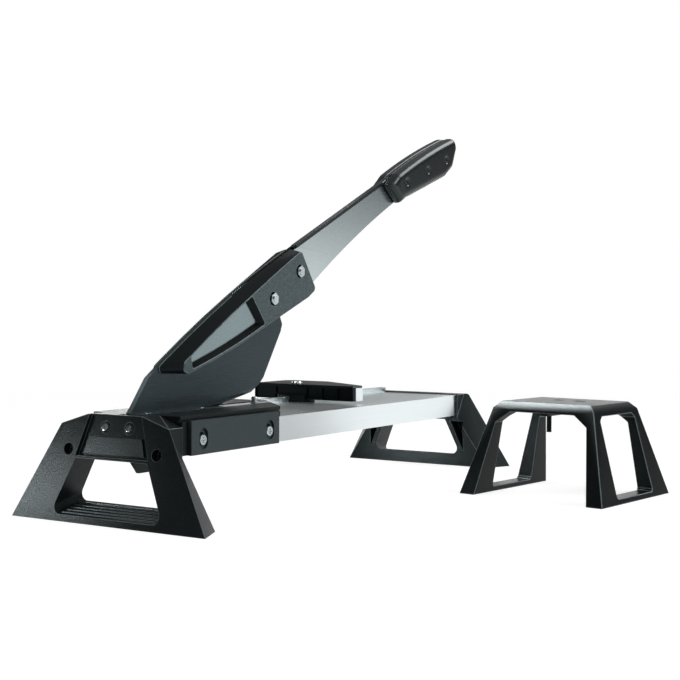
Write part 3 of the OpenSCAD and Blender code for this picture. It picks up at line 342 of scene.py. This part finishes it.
MATERIALS = {
    "charcoal_plastic": plastic(
        "charcoal_plastic", (0.008, 0.0105, 0.0113), roughness=0.33, gloss=0.14, texture=850,
        bump=1.0, depth=0.00045),
    "plate": plastic(
        "plate", (0.012, 0.0155, 0.0165), roughness=0.4, gloss=0.4, texture=700,
        bump=0.8, depth=0.0006),
    # Cheek: grey faces, pocket floors painted lighter as a highlight, black slopes partly painted
    # shade
    "cheek_plastic": moulded_face(
        "cheek_plastic", (0.066, 0.086, 0.09), (0.25, 0.315, 0.33), (0.002, 0.003, 0.0033),
        roughness=0.36, gloss=0.14),
    "fence_plastic": plastic(
        "fence_plastic", (0.004, 0.0055, 0.006), roughness=0.35, gloss=0.12, bump=0.15),
    "grip_plastic": plastic(
        "grip_plastic", (0.003, 0.004, 0.0044), roughness=0.25, gloss=0.45, texture=1200,
        bump=0.02),
    "rail_aluminium": metal(
        "rail_aluminium", (0.88, 0.94, 0.955), roughness=0.3, stretch=(0.01, 1, 1), texture=2000,
        contrast=0.02, bump=0.0, vary=0.01),
    "lever_steel": arm_painted_shade(metal(
        "lever_steel", (0.64, 0.725, 0.735), roughness=0.24, texture=700, contrast=0.08,
        bump=0.04)),
    "blade_steel": metal(
        "blade_steel", (0.045, 0.06, 0.066), roughness=0.3, stretch=(0.02, 1, 1), turn=10.5,
        texture=1600, contrast=0.1),
    "fastener_steel": metal("fastener_steel", (0.58, 0.64, 0.655), roughness=0.2),
    "bracket_steel": plastic(
        "bracket_steel", (0.005, 0.0068, 0.0072), roughness=0.4, gloss=0.2),
    "bumper_rubber": plastic("bumper_rubber", (0.01, 0.011, 0.011), roughness=0.7),
}
STAND_PLASTIC = plastic(
    "stand_plastic", (0.002, 0.0029, 0.0032), roughness=0.33, gloss=0.1, texture=1000,
    bump=0.5, depth=0.0003)
# Jaw plastic: lighter than the charcoal, as its own plastic and partly as painted light on its
# more lit face
JAW_PLASTIC = plastic(
    "jaw_plastic", (0.03, 0.039, 0.041), roughness=0.36, gloss=0.22, texture=1000,
    bump=0.5, depth=0.0003)
DARK_STEEL = metal("dark_steel", (0.07, 0.085, 0.09), roughness=0.3)
# Lighter plastic on rounded edges: wear and a painted edge highlight
EDGE_WEAR_AND_HIGHLIGHT = plastic("edge_wear_and_highlight", (0.12, 0.15, 0.156), roughness=0.4, bump=0.2)
OWN_MATERIAL = {
    "stand": STAND_PLASTIC,
    "stand_peg": STAND_PLASTIC,
    "front_jaw": JAW_PLASTIC,
    "grip_screws": DARK_STEEL,
}


# Modifiers on the CAD nodes, whose own meshes stay as imported


def shading_group(name, sharp):
    """Node group that makes a mesh smooth, with sharp edges where they are asked for."""
    group = bpy.data.node_groups.new(name, "GeometryNodeTree")
    for way in ("INPUT", "OUTPUT"):
        group.interface.new_socket("Geometry", in_out=way, socket_type="NodeSocketGeometry")
    link = group.links.new
    start = group.nodes.new("NodeGroupInput")
    end = group.nodes.new("NodeGroupOutput")
    clear = group.nodes.new("GeometryNodeRemoveAttribute")
    clear.inputs["Name"].default_value = "custom_normal"
    smooth = group.nodes.new("GeometryNodeSetShadeSmooth")
    smooth.domain = "FACE"
    link(start.outputs[0], clear.inputs["Geometry"])
    link(clear.outputs["Geometry"], smooth.inputs["Geometry"])
    last = smooth
    if sharp:
        angle = group.nodes.new("GeometryNodeInputMeshEdgeAngle")
        wide = group.nodes.new("FunctionNodeCompare")
        wide.operation = "GREATER_THAN"
        wide.inputs[1].default_value = SHARP_ANGLE
        link(angle.outputs["Unsigned Angle"], wide.inputs[0])
        last = group.nodes.new("GeometryNodeSetShadeSmooth")
        last.domain = "EDGE"
        last.inputs["Shade Smooth"].default_value = False
        link(smooth.outputs["Geometry"], last.inputs["Geometry"])
        link(wide.outputs["Result"], last.inputs["Selection"])
    link(last.outputs["Geometry"], end.inputs[0])
    return group


SMOOTH = shading_group("smooth", False)
SMOOTH_SHARP = shading_group("smooth_sharp", True)


def weld(piece):
    piece.modifiers.new("weld", "WELD").merge_threshold = WELD_REACH


def soften(piece, width, light_edged):
    """Rounds a piece's edges. Light-edged ones get the full width, even where short edges are
    near, and their rounding is painted lighter as wear and a painted highlight.
    """
    weld(piece)
    shading = piece.modifiers.new("shading", "NODES")
    shading.node_group = SMOOTH if width else SMOOTH_SHARP
    if width:
        bevel = piece.modifiers.new("bevel", "BEVEL")
        bevel.width = width
        bevel.segments = EDGE_STEPS
        bevel.limit_method = "ANGLE"
        bevel.angle_limit = EDGE_ANGLE
        bevel.miter_outer = "MITER_ARC"
        if light_edged:
            piece.data.materials.append(EDGE_WEAR_AND_HIGHLIGHT)
            bevel.material = LIGHT_EDGE_SLOT
            bevel.use_clamp_overlap = False
            bevel.loop_slide = False
    normals = piece.modifiers.new("normals", "WEIGHTED_NORMAL")
    normals.keep_sharp = True


def melt(piece):
    """Turns a faceted piece into one soft skin."""
    weld(piece)
    skin = piece.modifiers.new("skin", "REMESH")
    skin.mode = "VOXEL"
    skin.voxel_size = SKIN_VOXEL
    skin.use_smooth_shade = True
    smooth = piece.modifiers.new("smooth", "SMOOTH")
    smooth.factor = SKIN_FACTOR
    smooth.iterations = SKIN_STEPS


def dress_nodes():
    for part in frame["record"]["subparts"]:
        name = part["node"]
        slot = part["material_slot"]
        piece = nodes[name]
        piece.data.materials.clear()
        piece.data.materials.append(OWN_MATERIAL.get(name, MATERIALS[slot]))
        if name in SKINNED:
            melt(piece)
        else:
            soften(piece, OWN_RADIUS.get(name, EDGE_RADIUS[slot]), name in LIGHT_EDGED_PIECES)


# Stage


def add_floor():
    """White floor that is lit and takes the shadow near the object, and is plain white far out."""
    bpy.ops.mesh.primitive_plane_add(size=FLOOR_SIZE)
    floor = bpy.context.object
    floor.name = "floor"
    material, tree, shader = new_material("floor")
    tree.nodes.remove(shader)
    link = tree.links.new
    path = tree.nodes.new("ShaderNodeLightPath")
    seen = calculate(tree, "MAXIMUM", path.outputs["Is Camera Ray"], path.outputs["Is Glossy Ray"])
    coord = tree.nodes.new("ShaderNodeTexCoord")
    away = tree.nodes.new("ShaderNodeVectorMath")
    away.operation = "LENGTH"
    link(coord.outputs["Object"], away.inputs[0])
    fade = rising(tree, away.outputs["Value"], FLOOR_FADE)
    matt = tree.nodes.new("ShaderNodeBsdfDiffuse")
    matt.inputs["Color"].default_value = grey(FLOOR_DIFFUSE)
    glow = tree.nodes.new("ShaderNodeEmission")
    glow.inputs["Color"].default_value = grey(FLOOR_GLOW)
    white = tree.nodes.new("ShaderNodeEmission")
    for light in (glow, white):
        link(seen, light.inputs["Strength"])
    near = tree.nodes.new("ShaderNodeAddShader")
    link(matt.outputs[0], near.inputs[0])
    link(glow.outputs[0], near.inputs[1])
    both = tree.nodes.new("ShaderNodeMixShader")
    link(fade, both.inputs["Fac"])
    link(near.outputs[0], both.inputs[1])
    link(white.outputs[0], both.inputs[2])
    link(both.outputs[0], tree.nodes["Material Output"].inputs["Surface"])
    floor.data.materials.append(material)


def add_area(name, shown, place, target, size, power, spread):
    """Soft box that lights matt surfaces, or is seen in glossy ones, or both."""
    data = bpy.data.lights.new(name, "AREA")
    data.shape = "RECTANGLE"
    data.size, data.size_y = size
    data.energy = power
    data.spread = math.radians(spread)
    lamp = bpy.data.objects.new(name, data)
    scene.collection.objects.link(lamp)
    lamp.location = place
    lamp.visible_camera = False
    lamp.visible_diffuse = shown in ("MATT", "ALL")
    lamp.visible_glossy = shown in ("GLOSSY", "ALL")
    aim = Vector(target) - Vector(place)
    lamp.rotation_euler = aim.to_track_quat("-Z", "Y").to_euler()


def add_world():
    """White studio. In reflections it is bright at the front right and dim behind, with a dark
    band between the horizon and the top."""
    world = bpy.data.worlds.new("studio")
    world.use_nodes = True
    scene.world = world
    tree = world.node_tree
    link = tree.links.new
    back = tree.nodes["Background"]
    back.inputs["Color"].default_value = grey(1)
    path = tree.nodes.new("ShaderNodeLightPath")
    coord = tree.nodes.new("ShaderNodeTexCoord")
    turn = along(tree, coord.outputs["Generated"], STUDIO_BRIGHT)
    side = rising(tree, turn, STUDIO_SIDES, STUDIO_DIM)
    axes = tree.nodes.new("ShaderNodeSeparateXYZ")
    link(coord.outputs["Generated"], axes.inputs[0])
    height = tree.nodes.new("ShaderNodeValToRGB")
    steps = height.color_ramp.elements
    (_, horizon), *between, (_, top) = STUDIO_HEIGHT
    steps[0].color = grey(horizon)
    steps[1].color = grey(top)
    for place, level in between:
        steps.new(place).color = grey(level)
    link(axes.outputs["Z"], height.inputs["Fac"])
    mirrored = calculate(tree, "MULTIPLY", side, height.outputs["Color"])
    gloss = tree.nodes.new("ShaderNodeMix")
    gloss.inputs["A"].default_value = STUDIO_FILL
    link(path.outputs["Is Glossy Ray"], gloss.inputs["Factor"])
    link(mirrored, gloss.inputs["B"])
    seen = calculate(tree, "MAXIMUM", gloss.outputs["Result"], path.outputs["Is Camera Ray"])
    link(seen, back.inputs["Strength"])


def add_light():
    add_world()
    for lamp in LAMPS:
        add_area(*lamp)


add_camera()
dress_nodes()
add_floor()
add_light()
